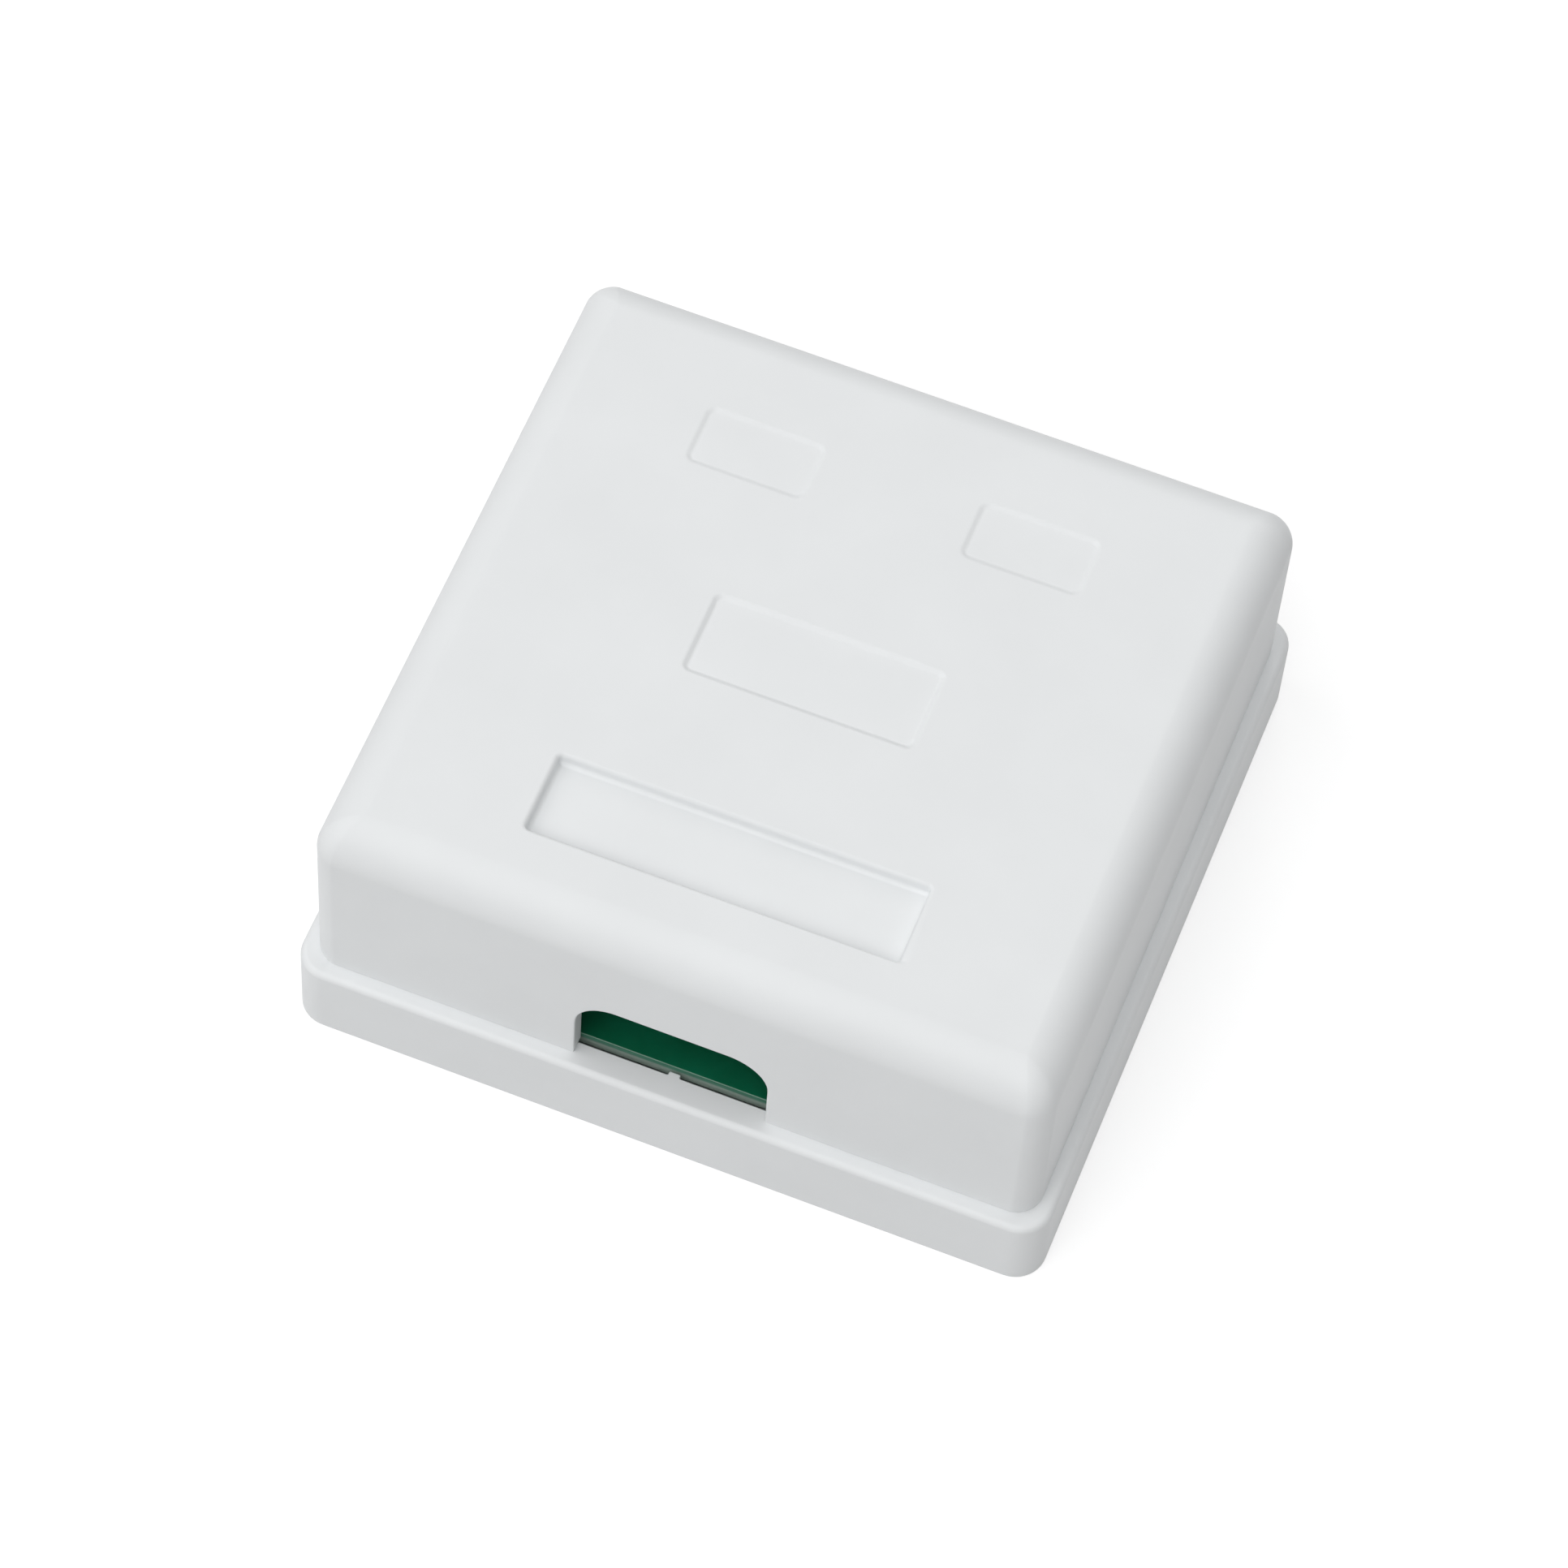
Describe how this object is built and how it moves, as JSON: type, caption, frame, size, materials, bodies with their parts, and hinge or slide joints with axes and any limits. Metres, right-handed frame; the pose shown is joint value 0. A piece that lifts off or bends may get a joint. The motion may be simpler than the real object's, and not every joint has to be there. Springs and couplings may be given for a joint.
{
  "type": "surface mount jack box",
  "caption": "Low white box that screws to a wall, with modular jacks in its rear side, punch-down terminals inside, an arched cable entry and a press-on cover.",
  "frame": {"origin": "middle of the underside, the face that goes against the wall", "axes": "+X to the right seen from the cable entry, +Y from the cable entry towards the jacks, +Z away from the wall, out through the cover's top"},
  "size_m": [0.065, 0.0632, 0.0275],
  "materials": {
    "white_shell": "smooth moulded",
    "green_board": "solder mask",
    "black_housing": "moulded",
    "black_insert": "moulded",
    "gold_contact": "gold plated",
    "ivory_block": "moulded",
    "tinned_terminal": "tin plated",
    "zinc_screw": "zinc plated"
  },
  "bodies": {
    "base": {"base": "white_shell", "circuit_board": "green_board", "board_screws": "zinc_screw", "jack_housing_left": "black_housing", "jack_insert_left": "black_insert", "jack_contact_left_1": "gold_contact", "jack_contact_left_2": "gold_contact", "jack_contact_left_3": "gold_contact", "jack_contact_left_4": "gold_contact", "jack_contact_left_5": "gold_contact", "jack_contact_left_6": "gold_contact", "jack_contact_left_7": "gold_contact", "jack_contact_left_8": "gold_contact", "jack_housing_right": "black_housing", "jack_insert_right": "black_insert", "jack_contact_right_1": "gold_contact", "jack_contact_right_2": "gold_contact", "jack_contact_right_3": "gold_contact", "jack_contact_right_4": "gold_contact", "jack_contact_right_5": "gold_contact", "jack_contact_right_6": "gold_contact", "jack_contact_right_7": "gold_contact", "jack_contact_right_8": "gold_contact", "terminal_block_left_inner": "ivory_block", "terminal_left_inner_1": "tinned_terminal", "terminal_left_inner_2": "tinned_terminal", "terminal_left_inner_3": "tinned_terminal", "terminal_left_inner_4": "tinned_terminal", "terminal_block_left_outer": "ivory_block", "terminal_left_outer_1": "tinned_terminal", "terminal_left_outer_2": "tinned_terminal", "terminal_left_outer_3": "tinned_terminal", "terminal_left_outer_4": "tinned_terminal", "terminal_block_right_inner": "ivory_block", "terminal_right_inner_1": "tinned_terminal", "terminal_right_inner_2": "tinned_terminal", "terminal_right_inner_3": "tinned_terminal", "terminal_right_inner_4": "tinned_terminal", "terminal_block_right_outer": "ivory_block", "terminal_right_outer_1": "tinned_terminal", "terminal_right_outer_2": "tinned_terminal", "terminal_right_outer_3": "tinned_terminal", "terminal_right_outer_4": "tinned_terminal"},
    "cover": {"cover": "white_shell"}
  },
  "joints": [
    {"name": "cover_lift", "type": "slide", "parent": "base", "child": "cover", "axis": [0, 0, 1], "range_m": [0, 0.03]}
  ]
}
